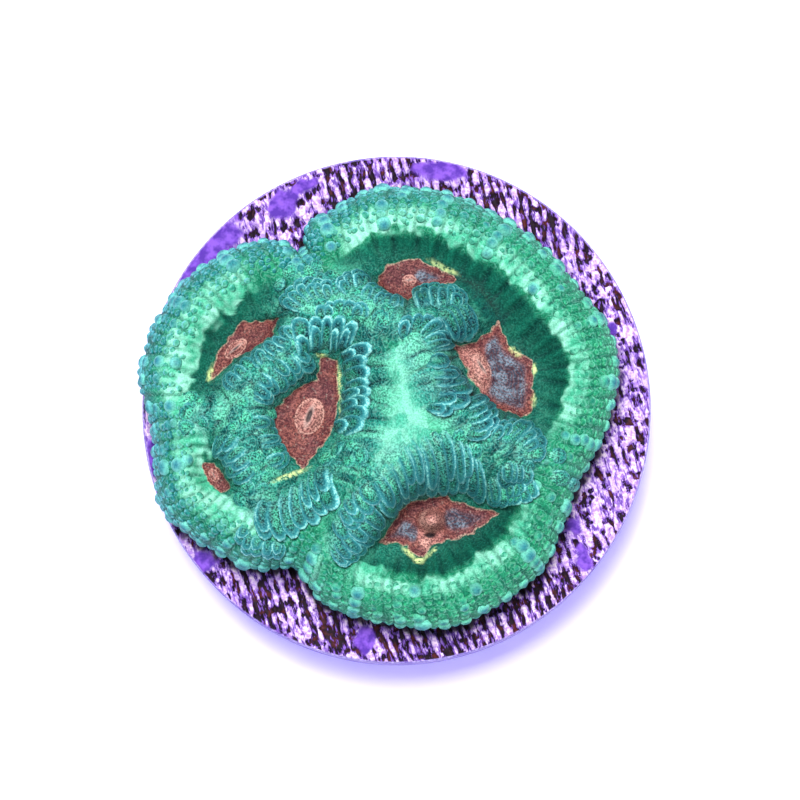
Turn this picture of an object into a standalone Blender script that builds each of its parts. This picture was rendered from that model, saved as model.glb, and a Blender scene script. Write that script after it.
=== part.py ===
"""A brain coral colony grown over a round ceramic disc. Lengths are in millimetres times MM, with +Z up and
the origin at the middle of the disc's underside."""

from math import pi, radians

import bmesh
import bpy
import numpy as np
from mathutils import Matrix, Vector, kdtree

MM = 0.001

# The disc that the coral grows on
DISC_DIAMETER = 32.0
DISC_THICKNESS = 6.0
DISC_CHAMFER = 0.4
DISC_SIDES = 120
GROOVE_PITCH = 1.26
GROOVE_WIDTH = 0.62
GROOVE_DEPTH = 0.45
GROOVE_LEAN = radians(14)
GROOVE_OVERRUN = 1.2

# The colony's heights over the disc's top
GAP = 0.3
SIDE_HEIGHT = 1.7
RIM_HEIGHT = 4.7
FLANK_WIDTH = 2.2
TUCK = 1.1

# The folds that run over the rim, and the lobes that hang round the mouths
RIM_FOLDS = 50
RIM_FOLD_RISE = 0.16
SLOPE_FOLD_RISE = 0.14
LOBE_PITCH = 1.9
LOBE_RISE = 0.55
LOBE_MIDDLE = 0.6
LOBE_START = 0.7
LOBE_FADE = 0.7
FAN_RADIUS = 1.2

# How the walls rise from the floors, and how widely the heights of ridges and of floors mix
STEEPNESS = 2.2
WALL_BLEND = (1.6, 0.3)
RIDGE_SPREAD = 1.2
FLOOR_SPREAD = 0.8

# The underside's rows below the side's widest line, as shares of TUCK and of the drop to GAP
UNDERCUT = ((0.35, 0.62), (1.0, 1.0))

# The mesh of the colony
GRID_CELLS = 60
FLANK_SHARE = 0.27
STEP = 0.15
RIM_POINTS = 640
RIM_POINTS_MIXED = 160
SHARP_ANGLE = radians(40)

# The colony's outline in plan, clockwise from its left end, with a notch above and one below
CENTRE = (-1.0, -0.1)
OUTLINE = (
    (-16.1, 1.9), (-15.8, 3.0), (-15.4, 4.7), (-14.4, 6.3), (-13.4, 7.7), (-11.5, 9.1), (-9.5, 10.1),
    (-7.2, 10.2), (-6.1, 9.7), (-5.5, 11.5), (-4.1, 12.2), (-2.0, 13.4), (0.8, 13.7), (3.4, 13.3),
    (6.2, 12.0), (9.0, 10.2), (11.4, 7.4), (13.2, 5.0), (13.9, 2.7), (13.5, -0.1), (12.7, -2.4),
    (11.4, -4.7), (10.4, -7.4), (9.0, -10.3), (6.7, -12.2), (3.7, -13.7), (1.1, -13.8), (-2.2, -13.2),
    (-4.6, -12.3), (-6.2, -10.2), (-9.1, -10.1), (-11.5, -8.9), (-13.3, -7.8), (-14.6, -6.4),
    (-15.1, -3.9), (-15.2, -1.7), (-15.8, 0.5),
)

# The walls between the mouths, as x, y and height: they meet on the mound in the middle
WALLS = (
    ((-6.1, 8.6, 4.9), (-5.6, 7.4, 5.6), (-4.2, 6.6, 6.2), (-2.2, 6.0, 6.8), (-0.3, 5.0, 7.3), (0.7, 3.6, 7.8)),
    ((0.7, 3.6, 7.8), (1.5, 1.8, 8.0), (1.6, -0.7, 8.0), (0.5, -2.6, 7.9), (-1.0, -4.2, 7.6)),
    ((1.6, -0.7, 8.0), (4.5, -1.8, 7.5), (7.1, -3.0, 6.8), (9.3, -3.8, 5.9), (11.4, -4.4, 4.9)),
    ((-1.0, -4.2, 7.6), (-1.8, -6.1, 7.1), (-2.9, -8.0, 6.4), (-4.6, -9.3, 5.3)),
    ((-4.2, 6.6, 6.2), (-5.8, 5.6, 5.9), (-6.7, 3.5, 6.1), (-8.5, 1.2, 6.0), (-10.6, -0.4, 5.5),
     (-13.4, -1.4, 4.9)),
    ((-8.5, 1.2, 6.0), (-9.2, -2.0, 6.0), (-9.1, -4.5, 5.8), (-8.4, -6.3, 5.4), (-8.0, -8.1, 4.9)),
)

# The floors round the mouths: outline in plan and height. The last is the valley that joins the upper two.
FLOORS = (
    (2.9, ((-1.2, 7.6), (-0.5, 8.8), (0.8, 9.2), (2.5, 8.6), (3.7, 7.8), (2.2, 7.3), (0.8, 6.6), (-0.2, 6.7))),
    (2.8, ((3.5, 3.7), (5.0, 3.9), (6.4, 5.1), (7.0, 3.6), (8.4, 2.7), (8.5, 0.4), (8.2, -0.8), (6.1, -0.2),
           (4.2, 1.5))),
    (2.6, ((-1.1, -8.6), (0.7, -6.1), (2.9, -5.7), (4.4, -6.3), (6.3, -6.8), (4.6, -8.0), (2.5, -8.6),
           (1.4, -9.5), (0.4, -8.6))),
    (3.9, ((-4.7, 2.9), (-3.7, 2.7), (-3.5, 0.5), (-4.1, -1.9), (-5.8, -4.1), (-7.6, -2.0), (-7.8, -0.6),
           (-6.2, 0.9), (-4.9, 1.5))),
    (2.9, ((-11.7, 1.3), (-11.2, 3.2), (-9.6, 5.1), (-7.4, 5.3), (-7.7, 4.2), (-10.0, 2.9))),
    (3.2, ((-12.0, -3.7), (-11.3, -3.6), (-10.3, -5.2), (-11.0, -5.4), (-11.7, -4.7))),
    (3.3, ((3.9, 7.9), (5.2, 7.2), (6.3, 5.6), (5.9, 6.4), (5.0, 7.4))),
)

# The mouths that stand up from their floors: x, y, radius and height
MOUTHS = ((2.2, -7.2, 0.8, 1.5), (-5.4, -0.8, 1.0, 0.6), (5.2, 2.5, 1.1, 0.7))


def clear_scene():
    for thing in list(bpy.data.objects):
        bpy.data.objects.remove(thing, do_unlink=True)


def collection(name):
    made = bpy.data.collections.new(name)
    bpy.context.scene.collection.children.link(made)
    return made


def material(name, colour, roughness):
    made = bpy.data.materials.new(name)
    made.use_nodes = True
    shader = made.node_tree.nodes["Principled BSDF"]
    shader.inputs["Base Color"].default_value = (*colour, 1.0)
    shader.inputs["Roughness"].default_value = roughness
    shader.inputs["Metallic"].default_value = 0.0
    return made


def object_of(mesh_data, name, place, finish=None):
    """A new object in the collection from a bmesh in millimetres."""
    bmesh.ops.scale(mesh_data, vec=(MM, MM, MM), verts=mesh_data.verts)
    bmesh.ops.recalc_face_normals(mesh_data, faces=mesh_data.faces)
    mesh = bpy.data.meshes.new(name)
    mesh_data.to_mesh(mesh)
    mesh_data.free()
    made = bpy.data.objects.new(name, mesh)
    place.objects.link(made)
    if finish:
        mesh.materials.append(finish)
        mesh.shade_smooth()
        mesh.set_sharp_from_angle(angle=SHARP_ANGLE)
    return made


# The outline's radius round the centre, and points along lines


def rim_radius(angle):
    """The outline's distance from the centre at each angle, on a closed curve through its points."""
    points = np.array(OUTLINE) - CENTRE
    at = np.arctan2(points[:, 1], points[:, 0])
    order = np.argsort(at)
    at = at[order]
    far = np.hypot(*points[order].T)
    at = np.concatenate([at[-2:] - 2 * pi, at, at[:2] + 2 * pi])
    far = np.concatenate([far[-2:], far, far[:2]])
    slope = np.gradient(far, at)
    angle = (angle + pi) % (2 * pi) - pi
    k = np.clip(np.searchsorted(at, angle) - 1, 0, len(at) - 2)
    width = at[k + 1] - at[k]
    t = (angle - at[k]) / width
    start = (1 + 2 * t) * (1 - t) ** 2 * far[k] + t * (1 - t) ** 2 * width * slope[k]
    return start + t**2 * (3 - 2 * t) * far[k + 1] - t**2 * (1 - t) * width * slope[k + 1]


def along(line, closed=False):
    """Points every STEP along a line, with their further values."""
    line = np.array(line + line[:1] if closed else line, float)
    run = np.concatenate([[0], np.cumsum(np.hypot(*np.diff(line[:, :2], axis=0).T))])
    at = np.linspace(0, run[-1], max(2, int(run[-1] / STEP)))
    return np.stack([np.interp(at, run, column) for column in line.T], axis=1)


def around(polygon, places):
    """Each place's distance from a polygon, and the share of the way round a line drawn FAN_RADIUS outside it,
    so that what is set out by that share fans out at the corners. The line's length comes last."""
    points = np.array(polygon)
    following = np.roll(points, -1, axis=0)
    if (points[:, 0] * following[:, 1] - following[:, 0] * points[:, 1]).sum() < 0:
        points = points[::-1]
        following = np.roll(points, -1, axis=0)
    sides = following - points
    lengths = np.hypot(*sides.T)
    run = np.concatenate([[0], np.cumsum(lengths)])
    facing = np.unwrap(np.arctan2(-sides[:, 0], sides[:, 1]))
    best = np.full(len(places), np.inf)
    fanned = np.zeros(len(places))
    for k, (point, side, length) in enumerate(zip(points, sides, lengths)):
        t = np.clip(((places - point) @ side) / length**2, 0, 1)
        gap = places - point - t[:, None] * side
        far = np.hypot(*gap.T)
        turn = (np.arctan2(gap[:, 1], gap[:, 0]) - facing[k] + pi) % (2 * pi) - pi + facing[k] - facing[0]
        closer = far < best
        best = np.where(closer, far, best)
        fanned = np.where(closer, run[k] + t * length + FAN_RADIUS * turn, fanned)
    outer_length = run[-1] + 2 * pi * FAN_RADIUS
    return best, (fanned / outer_length) % 1, outer_length


def nearest(points, places):
    """The distance of each place from its nearest point."""
    tree = kdtree.KDTree(len(points))
    for number, point in enumerate(points):
        tree.insert((point[0], point[1], 0), number)
    tree.balance()
    return np.array([tree.find((x, y, 0))[2] for x, y in places])


def mixed(points, values, places, spread):
    """The values of the points, mixed at each place by how near they are."""
    apart = ((places[:, None, :] - points[None, :, :]) ** 2).sum(axis=2)
    weight = 1 / (apart + spread**2) ** 2
    return (weight * values).sum(axis=1) / weight.sum(axis=1)


def smooth(t):
    return t * t * (3 - 2 * t)


def inside(polygon, places):
    """Which places lie inside a polygon."""
    x, y = places.T
    hit = np.zeros(len(places), bool)
    for (ax, ay), (bx, by) in zip(polygon, polygon[1:] + polygon[:1]):
        crosses = (ay > y) != (by > y)
        hit ^= crosses & (x < (bx - ax) * (y - ay) / (by - ay + 1e-12) + ax)
    return hit


# The relief of the colony's top, and the colony


def relief(places):
    """The height of the colony's top over the disc, inside its rim, at each place in plan."""
    angle = np.linspace(-pi, pi, RIM_POINTS, endpoint=False)
    crest = rim_radius(angle) - FLANK_WIDTH
    rim = np.stack([CENTRE[0] + crest * np.cos(angle), CENTRE[1] + crest * np.sin(angle)], axis=1)
    walls = np.concatenate([along(wall) for wall in WALLS])
    from_rim = nearest(rim, places)
    from_wall = nearest(walls, places)
    ridges = np.concatenate([rim[:: RIM_POINTS // RIM_POINTS_MIXED], walls[:, :2]])
    heights = np.concatenate([np.full(RIM_POINTS_MIXED, RIM_HEIGHT), walls[:, 2]])
    top = mixed(ridges, heights, places, RIDGE_SPREAD)

    edges = [along(polygon, closed=True) for _, polygon in FLOORS]
    depths = np.concatenate([np.full(len(edge), floor) for (floor, _), edge in zip(FLOORS, edges)])
    low = mixed(np.concatenate(edges), depths, places, FLOOR_SPREAD)
    from_floor = np.full(len(places), np.inf)
    lobe_run = np.zeros(len(places))
    for _, polygon in FLOORS:
        far, share, outer_length = around(polygon, places)
        lobe_run = np.where(far < from_floor, share * round(outer_length / LOBE_PITCH), lobe_run)
        from_floor = np.minimum(from_floor, far)
    for _, polygon in FLOORS:
        from_floor[inside(polygon, places)] = 0

    from_ridge = np.minimum(from_rim, from_wall)
    t = from_floor / (from_floor + from_ridge + 1e-6)
    steep = 1 - (1 - t) ** STEEPNESS
    wall_share = from_rim / (from_rim + from_wall + 1e-6)
    wallish = smooth(np.clip(wall_share * WALL_BLEND[0] - WALL_BLEND[1], 0, 1))
    height = low + (top - low) * (wallish * steep + (1 - wallish) * smooth(t))

    lobes = LOBE_RISE * (np.abs(np.sin(pi * lobe_run)) - LOBE_MIDDLE)
    height += lobes * wallish * smooth(np.clip(from_floor / LOBE_START, 0, 1)) * (1 - LOBE_FADE * t**3)
    turn = np.arctan2(places[:, 1] - CENTRE[1], places[:, 0] - CENTRE[0])
    folds = np.cos(RIM_FOLDS * turn)
    height += SLOPE_FOLD_RISE * folds * (1 - wallish) * smooth(t)
    for x, y, radius, rise in MOUTHS:
        away = np.hypot(places[:, 0] - x, places[:, 1] - y) / radius
        height += rise * np.exp(-(away**2))
    return height


def colony(place, finish):
    """A square grid, wrapped into a disc of even cells, drawn out to the outline and raised to the relief."""
    form = bmesh.new()
    bmesh.ops.create_grid(form, x_segments=GRID_CELLS, y_segments=GRID_CELLS, size=1.0)
    square = np.array([vert.co[:2] for vert in form.verts])
    ring = np.abs(square).max(axis=1)
    across, up = square.T
    wide = np.abs(across) > np.abs(up)
    safe = np.where(ring > 0, ring, 1)
    angle = np.where(
        wide,
        pi / 4 * up / np.where(wide, across, 1) + np.where(across < 0, pi, 0),
        pi / 2 - pi / 4 * across / np.where(wide, 1, np.where(up == 0, safe, up)) + np.where(up < 0, pi, 0),
    )

    outer = rim_radius(angle)
    crest = outer - FLANK_WIDTH
    start = 1 - FLANK_SHARE
    bend = np.clip((ring - start) / FLANK_SHARE, 0, 1) * pi / 2
    folds = np.cos(RIM_FOLDS * angle)
    flank = (FLANK_WIDTH + RIM_FOLD_RISE * folds) * np.sin(bend)
    radius = np.where(ring < start, crest * ring / start, crest + flank)
    heading = np.stack([np.cos(angle), np.sin(angle)], axis=1)
    places = CENTRE + heading * np.minimum(radius, crest)[:, None]
    height = relief(places)
    height = SIDE_HEIGHT + (height - SIDE_HEIGHT) * np.cos(bend)
    places = CENTRE + heading * radius[:, None]
    for vert, (x, y), z in zip(form.verts, places, height):
        vert.co = (x, y, DISC_THICKNESS + z)

    # The underside: the side tucks in below its widest line, down to a flat face just over the disc
    past = 0.0
    for inset, drop in UNDERCUT:
        border = [edge for edge in form.edges if edge.is_boundary]
        made = bmesh.ops.extrude_edge_only(form, edges=border)
        for vert in (item for item in made["geom"] if isinstance(item, bmesh.types.BMVert)):
            out = Vector((vert.co.x - CENTRE[0], vert.co.y - CENTRE[1], 0)).normalized()
            vert.co.z = DISC_THICKNESS + SIDE_HEIGHT + (GAP - SIDE_HEIGHT) * drop
            vert.co -= out * TUCK * (inset - past)
        past = inset
    border = [edge for edge in form.edges if edge.is_boundary]
    bmesh.ops.holes_fill(form, edges=border, sides=0)
    bmesh.ops.triangulate(form, faces=form.faces)
    return object_of(form, "coral_colony", place, finish)


# The disc


def disc(place, cutters, finish):
    """A plain disc with a chamfer round both edges, scored across its top by a row of parallel grooves. A long
    four-sided bar that stands on its edge cuts each groove."""
    form = bmesh.new()
    half = DISC_DIAMETER / 2
    bmesh.ops.create_cone(
        form, cap_ends=True, segments=DISC_SIDES, radius1=half, radius2=half, depth=DISC_THICKNESS
    )
    bmesh.ops.translate(form, verts=form.verts, vec=(0, 0, DISC_THICKNESS / 2))
    rims = [edge for edge in form.edges if edge.verts[0].co.z == edge.verts[1].co.z]
    bmesh.ops.bevel(form, geom=rims, offset=DISC_CHAMFER, segments=1, affect="EDGES")
    made = object_of(form, "frag_disc", place, finish)

    tools = bmesh.new()
    number = int(DISC_DIAMETER / GROOVE_PITCH / 2)
    length = DISC_DIAMETER * GROOVE_OVERRUN
    for k in range(-number, number + 1):
        groove = bmesh.ops.create_cone(
            tools, cap_ends=True, segments=4, radius1=GROOVE_WIDTH / 2, radius2=GROOVE_WIDTH / 2, depth=length
        )["verts"]
        bmesh.ops.rotate(tools, verts=groove, cent=(0, 0, 0), matrix=Matrix.Rotation(pi / 2, 3, "X"))
        bmesh.ops.scale(tools, verts=groove, vec=(1, 1, 2 * GROOVE_DEPTH / GROOVE_WIDTH))
        bmesh.ops.translate(tools, verts=groove, vec=(k * GROOVE_PITCH, 0, DISC_THICKNESS))
    bmesh.ops.rotate(tools, verts=tools.verts, cent=(0, 0, 0), matrix=Matrix.Rotation(GROOVE_LEAN, 3, "Z"))
    cutter = object_of(tools, "groove_cutter", cutters)
    cutter.hide_render = True
    cutter.display_type = "WIRE"
    cut = made.modifiers.new("grooves", "BOOLEAN")
    cut.operation = "DIFFERENCE"
    cut.object = cutter
    return made


clear_scene()
parts = collection("brain_coral")
cutters = collection("cutters")
colony(parts, material("coral_green", (0.035, 0.42, 0.27), 0.6))
disc(parts, cutters, material("fired_ceramic", (0.62, 0.45, 0.72), 0.8))
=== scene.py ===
"""The looks of a brain coral colony that grows over a round ceramic disc."""

from math import cos, pi, radians, sin

import bpy
import numpy as np
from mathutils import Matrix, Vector, kdtree


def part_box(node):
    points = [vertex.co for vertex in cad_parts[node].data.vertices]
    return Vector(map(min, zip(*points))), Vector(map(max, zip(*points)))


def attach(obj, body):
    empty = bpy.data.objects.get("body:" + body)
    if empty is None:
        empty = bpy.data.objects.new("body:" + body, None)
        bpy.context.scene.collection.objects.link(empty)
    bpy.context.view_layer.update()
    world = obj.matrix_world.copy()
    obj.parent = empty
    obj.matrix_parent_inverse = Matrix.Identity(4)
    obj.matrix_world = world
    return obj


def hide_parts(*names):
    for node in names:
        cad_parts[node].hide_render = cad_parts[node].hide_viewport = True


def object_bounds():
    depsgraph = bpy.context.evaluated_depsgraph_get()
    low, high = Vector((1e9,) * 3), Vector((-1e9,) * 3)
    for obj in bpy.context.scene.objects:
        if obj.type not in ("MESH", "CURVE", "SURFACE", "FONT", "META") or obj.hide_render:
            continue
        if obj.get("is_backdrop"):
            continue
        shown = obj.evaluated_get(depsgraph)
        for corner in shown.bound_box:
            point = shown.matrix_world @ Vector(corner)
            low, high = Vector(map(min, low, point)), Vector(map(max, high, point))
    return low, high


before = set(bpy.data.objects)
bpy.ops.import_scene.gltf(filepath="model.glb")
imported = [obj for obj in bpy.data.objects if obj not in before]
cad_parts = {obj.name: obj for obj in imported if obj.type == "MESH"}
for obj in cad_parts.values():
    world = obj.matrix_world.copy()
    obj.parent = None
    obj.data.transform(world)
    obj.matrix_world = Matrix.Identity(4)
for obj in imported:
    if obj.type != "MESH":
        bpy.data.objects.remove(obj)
cad_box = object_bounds()
bpy.ops.object.select_all(action="DESELECT")


# The ceramic disc
# A pressed and fired disc, 32 mm across, which a saw scored across its top. Grooves and pits lie open between
# pale crusted ridges, and smooth violet films of coralline algae cover it in places.

MM = 0.001
disc_low, disc_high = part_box("frag_disc")
DISC_RADIUS = (disc_high[0] - disc_low[0]) / 2 / MM
DISC_TOP = disc_high[2] / MM
DISC_CELLS = 290
DISC_EDGE = 0.14
GROOVE_LEAN = (radians(11), radians(22))
GROOVE_PITCH = 0.63
GROOVE_DEPTH = 0.34
PIT_DEPTH = 0.30
# Films of algae, as x, y, half length, half width and turn in degrees
ALGAE = (
    (-11.8, 9.6, 2.6, 1.3, 55), (2.9, 15.1, 1.6, 0.6, -5), (-7.2, 13.0, 1.0, 0.8, 30),
    (-5.9, 14.1, 0.9, 0.4, 25), (11.1, -7.4, 0.6, 0.5, 0), (11.8, -9.5, 0.5, 1.0, 20),
    (-12.0, -9.7, 0.9, 0.7, 40), (-2.0, -14.6, 0.7, 0.8, 0), (13.6, 5.0, 0.3, 0.4, 10),
    (-15.3, -3.0, 0.4, 1.3, 5),
)
# The coral's outline in plan, clockwise from its left end
CENTRE = (-1.0, -0.1)
OUTLINE = (
    (-16.1, 1.9), (-15.8, 3.0), (-15.4, 4.7), (-14.4, 6.3), (-13.4, 7.7), (-11.5, 9.1), (-9.5, 10.1),
    (-7.2, 10.2), (-6.1, 9.7), (-5.5, 11.5), (-4.1, 12.2), (-2.0, 13.4), (0.8, 13.7), (3.4, 13.3),
    (6.2, 12.0), (9.0, 10.2), (11.4, 7.4), (13.2, 5.0), (13.9, 2.7), (13.5, -0.1), (12.7, -2.4),
    (11.4, -4.7), (10.4, -7.4), (9.0, -10.3), (6.7, -12.2), (3.7, -13.7), (1.1, -13.8), (-2.2, -13.2),
    (-4.6, -12.3), (-6.2, -10.2), (-9.1, -10.1), (-11.5, -8.9), (-13.3, -7.8), (-14.6, -6.4),
    (-15.1, -3.9), (-15.2, -1.7), (-15.8, 0.5),
)


def value_noise(x, y, seed):
    """Smooth noise from 0 to 1, with one random value at each whole number."""
    table = np.random.default_rng(seed).random((256, 256))
    left = np.floor(x).astype(int)
    low = np.floor(y).astype(int)
    across = x - left
    up = y - low
    across = across * across * (3 - 2 * across)
    up = up * up * (3 - 2 * up)
    left, right = left % 256, (left + 1) % 256
    low, high = low % 256, (low + 1) % 256
    under = table[left, low] * (1 - across) + table[right, low] * across
    over = table[left, high] * (1 - across) + table[right, high] * across
    return under * (1 - up) + over * up


def smooth(t):
    t = np.clip(t, 0, 1)
    return t * t * (3 - 2 * t)


def spot(places, at_x, at_y, long, wide, turn=0):
    """The distance from an oval's middle, which is 1 on its line."""
    c, s = cos(radians(turn)), sin(radians(turn))
    px, py = (places - (at_x, at_y)).T
    return np.hypot((px * c + py * s) / long, (py * c - px * s) / wide)


def outline_radius(angle):
    """The outline's distance from the centre at each angle, on a closed curve through its points."""
    points = np.array(OUTLINE) - CENTRE
    at = np.arctan2(points[:, 1], points[:, 0])
    order = np.argsort(at)
    at = at[order]
    far = np.hypot(*points[order].T)
    at = np.concatenate([at[-2:] - 2 * pi, at, at[:2] + 2 * pi])
    far = np.concatenate([far[-2:], far, far[:2]])
    slope = np.gradient(far, at)
    angle = (angle + pi) % (2 * pi) - pi
    k = np.clip(np.searchsorted(at, angle) - 1, 0, len(at) - 2)
    width = at[k + 1] - at[k]
    t = (angle - at[k]) / width
    start = (1 + 2 * t) * (1 - t) ** 2 * far[k] + t * (1 - t) ** 2 * width * slope[k]
    return start + t**2 * (3 - 2 * t) * far[k + 1] - t**2 * (1 - t) * width * slope[k + 1]


def wrapped_grid(name, cells):
    """A square grid made round: its object, and each point's ring from 0 to 1 and angle."""
    bpy.ops.mesh.primitive_grid_add(x_subdivisions=cells, y_subdivisions=cells, size=2)
    made = bpy.context.object
    made.name = name
    square = np.empty(len(made.data.vertices) * 3)
    made.data.vertices.foreach_get("co", square)
    across, up = square.reshape(-1, 3)[:, :2].T
    ring = np.maximum(np.abs(across), np.abs(up))
    wide = np.abs(across) > np.abs(up)
    eighth = pi / 4
    angle = np.where(
        wide,
        eighth * up / np.where(wide, across, 1) + np.where(across < 0, pi, 0),
        2 * eighth - eighth * across / np.where(wide | (up == 0), 1, up) + np.where(up < 0, pi, 0),
    )
    return made, ring, angle


def move_points(piece, places):
    piece.data.vertices.foreach_set("co", np.ascontiguousarray(places * MM, np.float32).ravel())
    piece.data.update()


def add_mask(piece, name, values, below=0):
    """A number on each point, which the material reads. Points that close_below added share one number."""
    full = np.full(len(piece.data.vertices), float(below))
    full[: len(values)] = values
    piece.data.attributes.new(name, "FLOAT", "POINT").data.foreach_set("value", full.astype(np.float32))


def close_below(piece, centre, rows):
    """Draws the open border down through rows of (inset, height), then closes it with a flat face."""
    bpy.ops.object.mode_set(mode="EDIT")
    bpy.ops.mesh.select_all(action="SELECT")
    bpy.ops.mesh.region_to_loop()
    past = 0.0
    for inset, height in rows:
        bpy.ops.mesh.extrude_region_move()
        bpy.ops.object.mode_set(mode="OBJECT")
        for vert in (item for item in piece.data.vertices if item.select):
            out = Vector((vert.co.x / MM - centre[0], vert.co.y / MM - centre[1], 0)).normalized()
            vert.co -= out * (inset - past) * MM
            vert.co.z = height * MM
        past = inset
        bpy.ops.object.mode_set(mode="EDIT")
    bpy.ops.mesh.edge_face_add()
    bpy.ops.mesh.select_all(action="SELECT")
    bpy.ops.mesh.normals_make_consistent(inside=False)
    bpy.ops.object.mode_set(mode="OBJECT")
    bpy.ops.object.shade_smooth()
    bpy.ops.object.select_all(action="DESELECT")


def linear(colour):
    """The linear value of an sRGB hex colour."""
    parts = [int(colour[k : k + 2], 16) / 255 for k in (1, 3, 5)]
    return (*(c / 12.92 if c <= 0.04045 else ((c + 0.055) / 1.055) ** 2.4 for c in parts), 1.0)


def add_node(tree, kind, settings=None, **links):
    """Adds a node. Settings name its properties and links its inputs, as numbers, colours or sockets."""
    made = tree.nodes.new(kind)
    for name, value in (settings or {}).items():
        setattr(made, name, value)
    for name, value in links.items():
        number = name[1:]
        socket = made.inputs[int(number) if number.isdigit() else name.replace("_", " ")]
        if isinstance(value, bpy.types.NodeSocket):
            tree.links.new(value, socket)
        else:
            socket.default_value = value
    return made


def fade(tree, *parts):
    """How strongly a layer shows, the product of its parts. A part is a number, a socket or a mask's name, or
    a row of one of them, the range over which it fades in and the range that this gives. A number that starts
    a row is the size in millimetres of the spots of a noise."""
    strength = None
    for part in parts:
        source, *ends = part if isinstance(part, tuple) else (part,)
        if isinstance(source, str):
            source = add_node(tree, "ShaderNodeAttribute", {"attribute_name": source}).outputs["Fac"]
        elif ends and isinstance(source, float):
            place = add_node(tree, "ShaderNodeTexCoord").outputs["Object"]
            spots = 1 / (2 * source * MM)
            source = add_node(tree, "ShaderNodeTexNoise", None, Vector=place, Scale=spots, Roughness=0.6)
            source = source.outputs["Fac"]
        if ends:
            limits = dict(zip(("From_Min", "From_Max", "To_Min", "To_Max"), (*ends, 0, 1)))
            source = add_node(tree, "ShaderNodeMapRange", None, Value=source, **limits).outputs["Result"]
        if strength is not None:
            times = {"operation": "MULTIPLY"}
            source = add_node(tree, "ShaderNodeMath", times, _0=strength, _1=source).outputs[0]
        strength = source
    return strength


def layered(tree, under, *layers):
    """Colours laid over one another. A layer is its fade, or a list of the fade's parts, and its colour."""
    under = linear(under) if isinstance(under, str) else under
    for parts, over, *kind in layers:
        parts = parts if isinstance(parts, list) else [parts]
        over = linear(over) if isinstance(over, str) else over
        settings = {"data_type": "RGBA", "blend_type": kind[0] if kind else "MIX"}
        under = add_node(tree, "ShaderNodeMix", settings, _0=fade(tree, *parts), _6=under, _7=over).outputs[2]
    return under


def surface(name):
    """A new material, its node tree and its shader."""
    made = bpy.data.materials.new(name)
    made.use_nodes = True
    return made, made.node_tree, made.node_tree.nodes["Principled BSDF"]


def finish(tree, shader, colour, roughness, specular, height, strength, depth):
    """Gives a surface its colour, its gloss and its finest relief, so many millimetres deep."""
    tree.links.new(colour, shader.inputs["Base Color"])
    shader.inputs["Roughness"].default_value = roughness
    shader.inputs["Specular IOR Level"].default_value = specular
    bump = add_node(tree, "ShaderNodeBump", None, Height=height, Strength=strength, Distance=depth * MM)
    tree.links.new(bump.outputs["Normal"], shader.inputs["Normal"])


disc_piece, ring, angle = wrapped_grid("ceramic_disc", DISC_CELLS)
radius = (DISC_RADIUS - DISC_EDGE) * ring
x = radius * np.cos(angle)
y = radius * np.sin(angle)
lean = GROOVE_LEAN[0] + (GROOVE_LEAN[1] - GROOVE_LEAN[0]) * smooth((x - y + 16) / 40)
wander = 0.5 * (value_noise(x / 3 + 9, y / 3 + 7, 1) - 0.5)
over = x * np.cos(lean) + y * np.sin(lean) + wander
down = y * np.cos(lean) - x * np.sin(lean)
streak = value_noise(over / 0.36 + 40, down / 1.9 + 40, 2)
streak = 0.62 * streak + 0.38 * value_noise(over / 0.22 + 90, down / 0.9 + 90, 3)
saw = 0.5 + 0.5 * np.cos(2 * pi * over / GROOVE_PITCH + 5 * value_noise(over / 2, down / 5, 4))
lumps = value_noise(x / 0.42 + 11, y / 0.42 + 5, 5)
# Painted light and shade by side: fewer grooves at the sides and toward the upper left, more at the top and
# bottom, which lightens the sides and upper left and darkens the top and bottom in relief and colour
painted_light_by_side = 0.08 * np.cos(2 * angle) + 0.03 * np.cos(angle - radians(150))
groove = smooth((0.42 * streak + 0.30 * saw + 0.28 * lumps - 0.49 - painted_light_by_side) / 0.2)
specks = value_noise(x / 0.2 + 31, y / 0.2 + 17, 6)
pit = smooth((0.6 * lumps + 0.4 * specks - 0.58) / 0.12)
plan = np.stack([x, y], axis=1)
film = np.zeros(len(x))
for patch in ALGAE:
    ragged = 0.6 * (value_noise(x / 0.5 + patch[0], y / 0.5 + patch[1], 7) - 0.5)
    film = np.maximum(film, smooth((1.15 - spot(plan, *patch) + ragged) / 0.3))
bare = 1 - film
sunk = np.maximum(groove, 0.9 * pit) * bare
height = DISC_TOP - GROOVE_DEPTH * groove * bare - PIT_DEPTH * pit * bare * (1 - 0.5 * groove)
height += 0.05 * (specks - 0.5) * bare + 0.03 * (lumps - 0.5)
height -= 0.12 * smooth((ring - 0.975) / 0.025)
move_points(disc_piece, np.stack([x, y, height], axis=1))
side_rows = [(-DISC_EDGE, up) for up in (DISC_TOP - 0.4, DISC_TOP * 0.7, DISC_TOP * 0.35, 0.35)]
close_below(disc_piece, (0, 0), [(-0.09, DISC_TOP - 0.22), *side_rows, (0.2, 0.0)])
add_mask(disc_piece, "sunk", sunk)
add_mask(disc_piece, "film", film)
add_mask(disc_piece, "top", np.ones(len(x)))
# Painted contact shadow: near-black on the disc just outside the coral's outline, broken by lumps and
# strongest on the lower side, where the rim overhangs
from_centre = (plan - CENTRE).T
turn_out = np.arctan2(from_centre[1], from_centre[0])
from_coral = np.hypot(*from_centre) - outline_radius(turn_out)
shaded_side = 0.25 + 0.75 * smooth(0.4 - np.sin(turn_out - 0.3))
stain = smooth((0.75 - from_coral - 0.7 * lumps) / 0.35) * shaded_side
add_mask(disc_piece, "stain", stain)
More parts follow.
